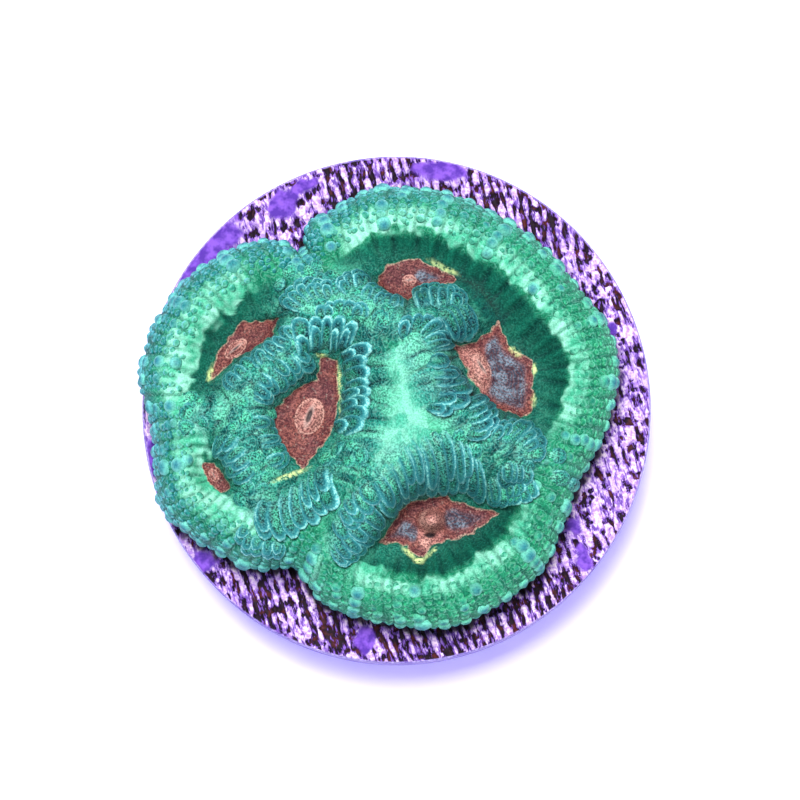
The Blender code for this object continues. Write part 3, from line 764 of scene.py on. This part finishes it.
# Rows of lobes: how many, how far they bow aside, how dark they are, and the lines of their tips and roots
FANS = (
    (11, 0.1, 0.25, ((-0.8, -7.5), (-0.3, -6.9), (0.2, -6.4), (0.8, -5.9), (1.5, -5.8), (2.7, -5.6),
                     (3.7, -5.6), (4.6, -5.7), (5.6, -6.3)),
     ((-1.9, -4.7), (-1.4, -4.1), (-0.9, -3.6), (-0.2, -2.7), (1.0, -2.2), (2.1, -1.7), (2.9, -1.9),
      (3.5, -2.4), (4.3, -3.4))),
    (6, 0.05, 0.3, ((6.0, -6.4), (6.8, -6.4), (7.5, -6.5), (8.3, -6.4), (8.8, -5.8)),
     ((5.6, -4.5), (6.3, -4.4), (6.9, -4.4), (7.4, -4.5), (7.8, -4.6))),
    (4, 0.05, 0.3, ((6.5, -5.4), (7.3, -5.2), (8.1, -5.3)),
     ((6.3, -3.7), (7.0, -3.6), (7.8, -3.9))),
    (7, 0.1, 0.5, ((6.7, -1.7), (7.6, -1.3), (8.5, -1.4), (9.2, -2.0), (9.4, -2.9), (9.0, -3.5)),
     ((5.8, -2.6), (6.4, -2.7), (7.0, -2.7), (7.4, -3.0), (7.7, -3.3), (7.8, -3.7))),
    (8, 0.05, 0.75, ((-1.2, 3.6), (-1.4, 2.5), (-1.3, 1.5), (-1.2, 0.4), (-1.4, -0.6), (-1.8, -1.7)),
     ((-3.4, 2.9), (-3.4, 1.8), (-3.4, 0.5), (-3.4, -0.4), (-3.6, -1.4), (-4.1, -2.2))),
    (5, 0.05, 0.85, ((-6.1, 5.1), (-5.1, 5.4), (-4.0, 5.6), (-2.9, 5.4), (-2.0, 4.9)),
     ((-5.9, 2.5), (-5.1, 2.7), (-4.3, 2.9), (-3.6, 2.9), (-3.0, 3.3))),
    (5, 0.05, 0.3, ((-4.8, 6.1), (-3.7, 6.3), (-2.5, 6.3), (-1.6, 5.8)),
     ((-4.8, 4.9), (-3.8, 5.1), (-2.8, 5.1), (-2.1, 4.8))),
    (6, 0.1, 0.8, ((0.5, 5.0), (1.2, 5.2), (2.0, 5.2), (2.8, 4.9), (3.4, 4.2), (3.6, 3.3)),
     ((0.5, 3.4), (0.8, 3.6), (1.2, 3.6), (1.5, 3.4), (1.7, 3.1), (1.7, 2.7))),
    (4, 0.12, 0.9, ((3.4, 4.0), (3.9, 4.0), (4.4, 4.1), (4.9, 4.3)),
     ((1.9, 5.6), (2.4, 5.8), (2.9, 6.0), (3.6, 6.0))),
    (6, 0.08, 0.8, ((1.3, 7.3), (2.1, 7.6), (2.9, 7.6), (3.7, 7.4), (4.3, 6.8)),
     ((1.5, 5.4), (2.1, 5.5), (2.7, 5.6), (3.2, 5.7), (3.9, 5.7))),
    (6, -0.08, 1.0, ((2.7, 2.8), (3.6, 1.9), (4.7, 0.8), (4.7, -0.2), (3.7, -0.7), (3.2, -0.9)),
     ((1.7, 2.5), (2.1, 1.6), (2.2, 0.8), (2.1, 0.2), (1.9, -0.2), (1.5, -0.3))),
    (5, -0.08, 0.9, ((5.4, 0.2), (6.1, -0.2), (6.4, -0.8), (6.2, -1.7), (5.6, -2.2)),
     ((3.9, -0.3), (4.2, -0.7), (4.2, -1.2), (4.1, -1.6), (3.9, -2.1))),
    (6, 0.06, 0.6, ((-5.2, 1.9), (-5.9, 1.4), (-6.7, 1.0), (-7.4, 0.4), (-7.9, -0.3)),
     ((-6.3, 3.4), (-7.2, 2.7), (-8.1, 2.0), (-8.8, 1.3), (-9.0, 0.4))),
    (7, -0.06, 0.6, ((-7.1, 4.4), (-7.7, 3.6), (-8.6, 3.0), (-9.5, 2.5), (-10.2, 1.8), (-10.9, 1.1)),
     ((-5.9, 4.1), (-6.7, 3.0), (-7.6, 2.4), (-8.6, 1.9), (-9.3, 1.2), (-10.0, 0.5))),
    (5, 0.1, 0.4, ((-11.6, -3.4), (-11.0, -3.5), (-10.4, -4.2), (-10.0, -5.1)),
     ((-10.8, -1.4), (-10.0, -1.9), (-9.3, -2.7), (-8.8, -3.9))),
    (5, 0.08, 0.5, ((-7.7, -1.2), (-7.3, -2.1), (-6.8, -3.0), (-6.3, -3.8)),
     ((-9.3, -1.1), (-8.9, -2.4), (-8.4, -3.4), (-7.9, -4.3))),
    (7, -0.15, 0.7, ((-8.2, -8.5), (-7.0, -8.7), (-5.9, -8.4), (-4.9, -7.8), (-3.9, -7.1), (-3.1, -6.5)),
     ((-8.1, -5.9), (-7.1, -5.5), (-6.2, -5.0), (-5.4, -4.4), (-4.7, -3.9), (-3.9, -3.4))),
    (5, -0.08, 0.3, ((-9.7, -8.7), (-8.9, -9.5), (-8.0, -9.7), (-7.0, -9.4)),
     ((-9.3, -7.5), (-8.6, -8.0), (-7.8, -8.3), (-7.1, -8.6))),
    (6, -0.08, 0.5, ((-3.2, -10.5), (-2.4, -9.9), (-1.7, -9.1), (-1.2, -8.3), (-0.7, -7.3)),
     ((-3.9, -9.0), (-3.5, -8.3), (-3.0, -7.5), (-2.5, -6.8), (-2.0, -6.1))),
    (5, -0.08, 0.5, ((-2.9, -8.9), (-2.3, -8.1), (-1.6, -7.1), (-1.0, -6.2)),
     ((-3.7, -7.1), (-3.0, -6.2), (-2.4, -5.3), (-1.7, -4.5))),
    (6, 0.08, 0.4, ((-7.1, 6.6), (-6.8, 7.3), (-5.9, 7.8), (-4.9, 7.8), (-4.0, 7.5)),
     ((-5.6, 5.4), (-5.2, 5.9), (-4.7, 6.2), (-4.2, 6.3), (-3.7, 6.3))),
    (4, 0.08, 0.5, ((-3.9, 7.4), (-3.3, 8.1), (-2.4, 8.3), (-1.9, 7.8)),
     ((-2.9, 6.4), (-2.4, 6.8), (-2.0, 6.9), (-1.6, 6.8))),
    (5, 0.05, 0.6, ((-1.6, 7.5), (-0.8, 6.9), (-0.2, 6.5), (0.4, 6.7)),
     ((-2.0, 6.2), (-1.4, 5.7), (-0.7, 5.4), (0.0, 5.6))),
)
# The tongues on the lobes' backs: the share of lobes that bear one, then its length and width as shares of
# the lobe's own, its lift and its shift to the side
BACK_SHARE = 0.7
BACK_REACH = (0.6, 0.9)
BACK_WIDTH = 0.68
BACK_LIFT = 0.09
BACK_ASIDE = 0.12


def square_place(at_ring, at_angle):
    """Where a ring and an angle lie on the flat grid, in cells."""
    at_angle = (at_angle + pi / 4) % (2 * pi) - pi / 4
    quarter = np.floor((at_angle + pi / 4) / (pi / 2)).astype(int)
    cross = (at_angle - quarter * pi / 2) * 4 / pi * at_ring
    flat_x = np.choose(quarter, [at_ring, -cross, -at_ring, cross])
    flat_y = np.choose(quarter, [cross, at_ring, -cross, -at_ring])
    return (flat_x + 1) / 2 * TISSUE_CELLS, (flat_y + 1) / 2 * TISSUE_CELLS


def sampled(values, at_ring, at_angle):
    """Values of the grid read between its points."""
    grid = values.reshape(side_count, side_count, -1)
    column, row = square_place(at_ring, at_angle)
    c = np.clip(column.astype(int), 0, TISSUE_CELLS - 1)
    r = np.clip(row.astype(int), 0, TISSUE_CELLS - 1)
    dc = (column - c)[:, None]
    dr = (row - r)[:, None]
    lower = grid[r, c] * (1 - dc) + grid[r, c + 1] * dc
    upper = grid[r + 1, c] * (1 - dc) + grid[r + 1, c + 1] * dc
    return lower * (1 - dr) + upper * dr


def on_flesh(plan):
    """The flesh's surface at a place in plan: its point, its normal and how much it belongs to the mound."""
    away = plan - CENTRE
    at_angle = np.arctan2(away[:, 1], away[:, 0])
    far = np.hypot(*away.T)
    edge = outline_radius(at_angle) - FLANK_WIDTH
    over_edge = np.arcsin(np.clip((far - edge) / FLANK_WIDTH, 0, 1)) / (pi / 2)
    at_ring = np.where(far < edge, start * far / edge, start + FLANK_SHARE * over_edge)
    up = sampled(normal, at_ring, at_angle)
    up /= np.linalg.norm(up, axis=1, keepdims=True)
    return sampled(base, at_ring, at_angle), up, sampled(plateau, at_ring, at_angle)[:, 0]


def spread_out(line, count):
    line = np.array(line)
    run = run_of(line)
    at = (np.arange(count) + 0.5) / count * run[-1]
    return np.stack([np.interp(at, run, column) for column in line.T], axis=1)


def taken_apart(ball):
    """A ball's points and faces, and the ball itself is gone."""
    points = np.array([vert.co for vert in ball.data.vertices])
    faces = [list(face.vertices) for face in ball.data.polygons]
    bpy.data.objects.remove(ball)
    return points, faces


def placed(name, data):
    made = bpy.data.objects.new(name, data)
    bpy.context.scene.collection.objects.link(made)
    return made


def joined(name, places, points, faces):
    """One mesh of many copies of a ball's faces, each on its own run of so many points."""
    mesh = bpy.data.meshes.new(name)
    starts = range(0, len(places), points)
    corners = [[corner + first for corner in face] for first in starts for face in faces]
    mesh.from_pydata((places * MM).tolist(), [], corners)
    mesh.shade_smooth()
    return placed(name, mesh)


def flesh_plates(name, plates, sides, rings, crisp=1.0):
    """One mesh of many tongues of flesh that lie on the surface. A plate is its root, its tip, its width, the
    share of the width that its root has, its bow, its shade and its lift."""
    bpy.ops.mesh.primitive_uv_sphere_add(segments=sides, ring_count=rings, radius=1)
    points, faces = taken_apart(bpy.context.object)
    across_unit, along_unit, up_unit = points.T
    out_share = np.hypot(across_unit, along_unit)
    round_angle = np.arctan2(along_unit, across_unit)
    outline_angle = np.linspace(-pi, pi, 241)
    all_places = []
    edge_mm = []
    tip_share = []
    shades = []
    for root, tip, width, narrow, bow, shade, lift in plates:
        length = max(np.hypot(*(tip - root)), width)
        ahead = (tip - root) / np.hypot(*(tip - root))
        aside = np.array([-ahead[1], ahead[0]])

        def stadium(c, s):
            return width / 2 * c, (length - width) / 2 * np.tanh(2 * s) / np.tanh(2) + width / 2 * s

        run = run_of(np.stack(stadium(np.cos(outline_angle), np.sin(outline_angle)), axis=1))
        beads_round = round(run[-1] / SCALLOP_PITCH)
        arc = np.interp(round_angle, outline_angle, run / run[-1])
        scallop = SCALLOP_DEPTH * np.abs(np.cos(pi * arc * beads_round)) * out_share**3
        across, forward = stadium(across_unit, along_unit)
        forward = forward + scallop * along_unit
        t = np.clip(forward / length + 0.5, 0, 1)
        across = across * (narrow + (1 - narrow) * t) + scallop * across_unit
        sideways = bow * length * 4 * t * (1 - t)
        middle = (root + tip) / 2 + forward[:, None] * ahead + sideways[:, None] * aside
        line = ahead + (4 * bow * (1 - 2 * t))[:, None] * aside
        line /= np.linalg.norm(line, axis=1, keepdims=True)
        plan = middle + across[:, None] * np.stack([-line[:, 1], line[:, 0]], axis=1)
        ground, up, _ = on_flesh(plan)
        out_of_flesh = smooth(t / 0.4)
        raised = lift * out_of_flesh + TIP_RISE * smooth(t) + ROLL * np.sign(bow) * across_unit
        dome = LOBE_THICK * np.maximum(up_unit, 0) ** 0.75 * (0.4 + 0.6 * out_of_flesh) + raised
        dome -= ROOT_SINK * (1 - out_of_flesh)
        all_places.append(ground + up * np.where(up_unit > -0.01, dome, -0.3)[:, None])
        edge_mm.append(np.where(up_unit > -0.01, (1 - out_share) * width / 2, -0.5))
        tip_share.append(t)
        shades.append(np.full(len(points), shade))
    all_places = np.concatenate(all_places)
    made = joined(name, all_places, len(points), faces)
    for mask, parts in (("edge_mm", edge_mm), ("tip", tip_share), ("shade", shades)):
        add_mask(made, mask, np.concatenate(parts))
    add_mask(made, "crisp", np.full(len(all_places), crisp))
    add_mask(made, "plateau", on_flesh(all_places[:, :2])[2])
    return made


draw = np.random.default_rng(41)
grown = []
for count, bow, shade, tips, roots in FANS:
    tips = spread_out(tips, count)
    roots = spread_out(roots, count)
    apart = np.hypot(*np.gradient(0.7 * tips + 0.3 * roots, axis=0).T)
    root_apart = np.hypot(*np.gradient(roots, axis=0).T)
    for tip, root, gap, root_gap in zip(tips, roots, apart, root_apart):
        size = max(gap, 0.75) * 1.3 * draw.uniform(0.9, 1.2)
        narrow = np.clip(root_gap / gap, 0.6, 1.0)
        tip = tip - TIP_SHORT * (tip - root) / np.hypot(*(tip - root))
        jitter = draw.uniform(-0.12, 0.12, (2, 2))
        grown.append((root + jitter[0], tip + jitter[1], size, narrow, bow, shade))
lower = [(*plate, DARK_LIFT * plate[-1] ** 3) for plate in grown]
lobe_pieces = [flesh_plates("septal_lobes", lower, LOBE_SIDES, LOBE_RINGS)]
backs = []
for root, tip, width, narrow, bow, shade in grown:
    if draw.random() < BACK_SHARE:
        ahead = tip - root
        reach_back = draw.uniform(*BACK_REACH)
        shifted = np.sign(bow) * BACK_ASIDE * width * np.array([-ahead[1], ahead[0]]) / np.hypot(*ahead)
        end = root + reach_back * ahead + shifted
        lift = BACK_LIFT + DARK_LIFT * shade**3
        backs.append((root + shifted, end, BACK_WIDTH * width, narrow, bow, shade, lift))
lobe_pieces.append(flesh_plates("septal_lobes_upper", backs, LOBE_SIDES, LOBE_RINGS))

# Low round humps crowd along the walls between the rows
HUMP_SIDES = 40
HUMP_RINGS = 6
HUMP_SPOTS = ((-12.9, -1.2), (-12.0, -1.3), (-12.8, 0.2),
              (-4.8, 8.4), (-3.9, 7.8), (-6.6, 8.0), (-7.3, 7.4), (-3.2, -2.4), (-2.6, -2.9), (-3.7, -2.9),
              (-2.9, -3.6), (-2.2, -3.4), (-1.8, -2.6), (-4.2, -3.4), (-3.5, -4.2))
humps = []
for number, wall in enumerate(WALLS):
    if number == MOUND:
        continue
    line, length = along(wall)
    for along_wall in np.arange(0.3, length, 0.5):
        point = line[int(along_wall / length * (len(line) - 1)), :2]
        humps.append((point + draw.uniform(-0.9, 0.9, 2), draw.uniform(0.7, 1.15)))
humps += [(np.array(spot_place), draw.uniform(0.8, 1.1)) for spot_place in HUMP_SPOTS]
plates = []
for place, size in humps:
    if on_flesh(place[None])[2][0] > 0.3:
        continue
    turn = draw.uniform(-pi, pi)
    half = np.array([cos(turn), sin(turn)]) * size * draw.uniform(0.5, 0.65)
    plates.append((place - half, place + half, size, 1.0, 0.01, 0.1, -0.1))
lobe_pieces.append(flesh_plates("wall_humps", plates, HUMP_SIDES, HUMP_RINGS, 0.35))

# The flesh where it is thickest: dark and stippled with brown and navy cells, darker still with painted shade
# on the rows that lie in shade, with a pale blue-green line of beads along each edge that is partly a painted
# rim highlight, painted shade just inside each edge and painted shadow under it, and paler toward the mound
thick_flesh, tree, shader = surface("beaded_coral_flesh")
speck, cloud = flesh_noises(tree)
mint = layered(tree, "#48BC9C", ((0.25, 0.4, 0.6), "#98F0CC"))
lit = fade(tree, ("shade", 0.4, 1.0, 1.0, 0.25))
near_mound = fade(tree, ("plateau", 0.3, 1), ("tip", 0.9, 0.2, 0, 0.7))
free = fade(tree, ("tip", 0.05, 0.5), "crisp")
inner = layered(
    tree, layered(tree, "#269E86", ((cloud, 0.4, 0.6), "#4CD8A2")),
    ("shade", layered(tree, "#0C4A64", ((cloud, 0.4, 0.6), "#128468"))),
    ([lit, ("tip", 0.8, 0.1, 0, 0.7)], mint),
    ([lit, near_mound], mint),
    # Painted shade a little inside each free edge
    ([("edge_mm", 0.40, 0.16, 0, 0.75), free], "#0C4254"),
    ((near_mound, 0, 0.7, 0.85, 0.45), layered(tree, "#182C4C", ((speck, 0.42, 0.56), "#FFFFFF")),
     "MULTIPLY"),
    # Pale specks: painted glints on the wet flesh
    ((speck, 0.58, 0.72, 0, 0.35), "#96E6D8"),
    ([contours(tree, 0.4, 8), 0.12], "#8CE4D4"),
    ([("edge_mm", 0.24, 0.09, 0, 0.6), free], "#38A0A4"),
    # The pale beaded line along each free edge, partly a painted rim highlight
    ([("edge_mm", 0.10, 0.05), free, (0.3, 0.38, 0.54, 0.25, 1.0)],
     layered(tree, "#50B4B8", ((speck, 0.40, 0.58), "#A4EEE0"))),
    # Painted shadow on the plates' undersides, where they meet the flesh
    (("edge_mm", -0.05, -0.2, 0, 0.9), "#04222E"),
)
finish(tree, shader, inner, 0.6, 0.12, speck, 0.6, 0.05)
for piece in lobe_pieces:
    piece.data.materials.append(thick_flesh)
    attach(piece, "root")


# The rim's vesicles
# Water-filled beads in rows, swollen out of the flesh where each ridge of the skeleton runs over the rim.
# Every sixth row is of large beads, and the others are of small ones.

BEAD_ROWS = round(rim_run[-1] / ROW_PITCH)
BEAD_KINDS = ((0.48, 0.70), (0.24, 0.46), (0.32, 0.52), (0.24, 0.46), (0.32, 0.52), (0.24, 0.46))
BEAD_SUNK = 0.70
UPPER_LEFT_LIFT = 0.14
LARGE_SUNK = 0.35
FLANK_RUN = 4.1


def joined_beads(name, centres, ups, outs, sizes, detail):
    """One mesh of many beads, each a copy of one ball, flattened a little along its own upward line."""
    bpy.ops.mesh.primitive_ico_sphere_add(subdivisions=detail, radius=1)
    points, faces = taken_apart(bpy.context.object)
    side_line = np.cross(ups, np.array([0.3, 0.9, 0.1]))
    side_line /= np.linalg.norm(side_line, axis=1, keepdims=True)
    third = np.cross(ups, side_line)
    spread = points[None, :, 0, None] * side_line[:, None] + points[None, :, 1, None] * third[:, None]
    spread = spread + 0.9 * points[None, :, 2, None] * ups[:, None]
    every = centres[:, None] + spread * sizes[:, None, None]
    made = joined(name, every.reshape(-1, 3), len(points), faces)
    add_mask(made, "crown", np.tile(points[:, 2], len(centres)))
    add_mask(made, "outward", (spread * outs[:, None]).sum(axis=2).ravel())
    return made


placings = []
draw = np.random.default_rng(31)
for row in range(BEAD_ROWS):
    size, pitch = BEAD_KINDS[row % 6]
    at = (row + draw.uniform(-0.12, 0.12)) * ROW_PITCH
    run = draw.uniform(-0.5, 0.1)
    while run < FLANK_RUN + 0.1:
        size_here = size * draw.uniform(0.75, 1.2) * (0.85 + 0.4 * max(run, 0) / FLANK_RUN)
        if row % 6 == 0 and draw.random() < 0.35:
            size_here *= 0.5
        at_angle = np.interp(at + draw.uniform(-0.14, 0.14), rim_run[:-1], turn_round)
        placings.append((start + FLANK_SHARE * run / FLANK_RUN, at_angle, size_here))
        run += pitch * draw.uniform(0.8, 1.2)
bead_ring, bead_angle, bead_size = np.array(placings).T
bead_ring = np.minimum(bead_ring, 1.0)
bead_up = sampled(normal, bead_ring, bead_angle)
bead_up /= np.linalg.norm(bead_up, axis=1, keepdims=True)
bead_upper_left = sampled(upper_left, bead_ring, bead_angle)[:, 0]
large = smooth((bead_size - 0.33) / 0.08)
sunk_share = BEAD_SUNK - UPPER_LEFT_LIFT * bead_upper_left
sunk_share += (LARGE_SUNK - sunk_share) * large
outermost = smooth((bead_ring - start - 0.75 * FLANK_SHARE) / (0.25 * FLANK_SHARE))
sunk_share += 0.3 * outermost * (1 - bead_upper_left)
bead_place = sampled(shaped, bead_ring, bead_angle) - bead_up * (bead_size * sunk_share)[:, None]
bead_out = np.stack([np.cos(bead_angle), np.sin(bead_angle), 0 * bead_angle], axis=1)
beads = joined_beads("rim_vesicles", bead_place, bead_up, bead_out, bead_size, 2)
ball_points = len(beads.data.vertices) // len(bead_size)
bead_band = 0.8 * smooth((0.16 + 0.18 * bead_upper_left - (bead_ring - start) / FLANK_SHARE) / 0.2)
bead_band *= sampled(beside_notch, bead_ring, bead_angle)[:, 0]
to_upper_left = np.maximum(np.cos(bead_angle - radians(160)), 0)
bead_outer = smooth((bead_ring - start - (0.82 - 0.30 * to_upper_left) * FLANK_SHARE) / 0.06)
blue = large * draw.uniform(0.35, 1.0, len(large))
for name, values in (("band", bead_band), ("cool", bead_upper_left), ("outer", bead_outer), ("large", blue)):
    add_mask(beads, name, np.repeat(values, ball_points))

# The same flesh stretched thin over water: clearer and bluer on each crown, pale where the beads meet, partly
# as a painted rim highlight, with a painted highlight low on each bead's outward side and painted shade low
# on its inward side
blister, tree, shader = surface("stretched_coral_flesh")
speck, _ = flesh_noises(tree)
mottle = fade(tree, (0.22, 0.40, 0.60))
skin = layered(
    tree, "#0E7E50",
    (mottle, "#36BC7E"),
    # Painted shade on the rim's upper-left side, darker and bluer
    (("cool", 0, 1, 0, 0.75), "#147088"),
    ("band", layered(tree, "#3CB08C", (mottle, "#90EEC8"))),
    (("outer", 0, 1, 0, 0.7), "#3098AC"),
    (("crown", 0.72, 0.98, 0, 0.6), layered(tree, "#168066", ("large", "#3E90A4"))),
    ([contours(tree, 0.35, 8), 0.16], "#9CF4D4"),
    # Painted shade low on each bead's inward side
    ([("crown", 0.85, 0.6), ("outward", 0.1, -0.4, 0, 0.7)], "#0C5C4C"),
    # Painted highlight low on each bead's outward side
    ([("crown", 0.9, 0.7), ("outward", 0.1, 0.45, 0, 0.7)], layered(tree, "#86E8C0", ("cool", "#80D4DC"))),
    (("large", 0, 1, 0, 0.8), layered(tree, "#80E4CC", (("crown", 0.55, 0.95), "#308094"))),
    (0.4, layered(tree, "#58848C", ((speck, 0.38, 0.56), "#FFFFFF")), "MULTIPLY"),
)
finish(tree, shader, skin, 0.5, 0.15, speck, 0.4, 0.04)
beads.data.materials.append(blister)
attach(beads, "root")


# Stage, light and camera
# A white sweep under soft studio light, with the key a little behind, and a long lens nearly straight above

bpy.ops.mesh.primitive_plane_add(size=1.2, location=(0, 0, -0.0002))
floor = bpy.context.object
floor.name = "white_sweep"
paper, tree, shader = surface("matt_white_paper")
for name, value in (
    ("Base Color", linear("#FBFAFF")), ("Roughness", 0.9),
    ("Emission Color", linear("#9C90FF")), ("Emission Strength", 0.4),
):
    shader.inputs[name].default_value = value
floor.data.materials.append(paper)
floor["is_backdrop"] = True

world = bpy.data.worlds.new("studio")
bpy.context.scene.world = world
world.use_nodes = True
backdrop = world.node_tree.nodes["Background"]
backdrop.inputs["Color"].default_value = linear("#E4DEFF")
backdrop.inputs["Strength"].default_value = 0.32

LIGHTS = (("key", (-0.03, 0.09, 0.37), 0.14, 2.0), ("fill", (0.10, -0.18, 0.28), 0.15, 0.22))
for name, place, size, power in LIGHTS:
    lamp = bpy.data.lights.new(name, "AREA")
    lamp.size = size
    lamp.energy = power
    made = placed(name, lamp)
    made.location = place
    made.rotation_euler = (-Vector(place)).to_track_quat("-Z", "Y").to_euler()

PHOTO_SIDE = 800
DISC_WIDTH_PX = 509
AIM = Vector((0.22 * MM, 0.53 * MM, DISC_TOP * MM))
TILT = radians(4.5)
DISTANCE = 0.3
view_width = PHOTO_SIDE / DISC_WIDTH_PX * 2 * DISC_RADIUS * MM
lens = bpy.data.cameras.new("camera")
lens.lens = lens.sensor_width * DISTANCE / view_width
lens.clip_start = 0.01
camera = placed("camera", lens)
camera.location = AIM + Vector((0, -sin(TILT), cos(TILT))) * DISTANCE
camera.rotation_euler = (TILT, 0, 0)
bpy.context.scene.camera = camera
bpy.context.scene.view_settings.view_transform = "Standard"

plain = [[[float(v) for v in corner] for corner in box] for box in (cad_box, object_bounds())]
